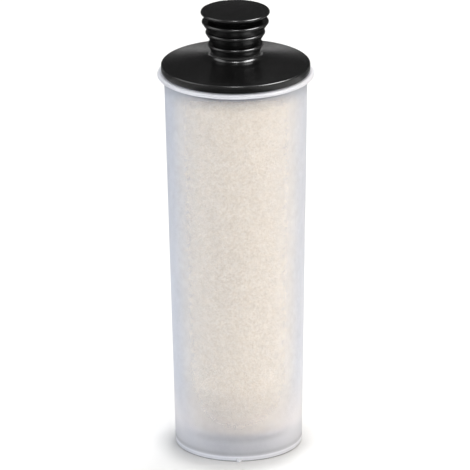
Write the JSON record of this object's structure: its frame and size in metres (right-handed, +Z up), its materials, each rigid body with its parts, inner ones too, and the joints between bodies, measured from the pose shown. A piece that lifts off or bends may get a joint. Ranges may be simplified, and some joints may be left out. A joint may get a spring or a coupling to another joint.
{
  "type": "steam cleaner descaling cartridge",
  "caption": "Upright water-softening cartridge for a steam cleaner: frosted tapered cup of granulate, flanged mouth, black cap with a ribbed pull knob, outlet spigot under a raised floor.",
  "frame": {"origin": "centre of the foot on the surface that the cartridge stands on", "axes": "+Z up along the cup's axis to the knob, -Y to the front, where the mould nib is"},
  "size_m": [0.06, 0.06, 0.1756],
  "materials": {
    "frosted_plastic": "frosted, see-through natural polypropylene",
    "black_plastic": "satin black moulding",
    "softening_granulate": "fine cream beads, matt",
    "filter_fleece": "white non-woven fleece",
    "riser_plastic": "plain natural plastic",
    "seal_rubber": "black rubber ring"
  },
  "bodies": {
    "root": {"cartridge_cup": "frosted_plastic", "cap": "black_plastic", "granulate_bed": "softening_granulate", "bottom_fleece": "filter_fleece", "top_fleece": "filter_fleece", "riser_tube": "riser_plastic", "outlet_seal": "seal_rubber"}
  },
  "joints": []
}
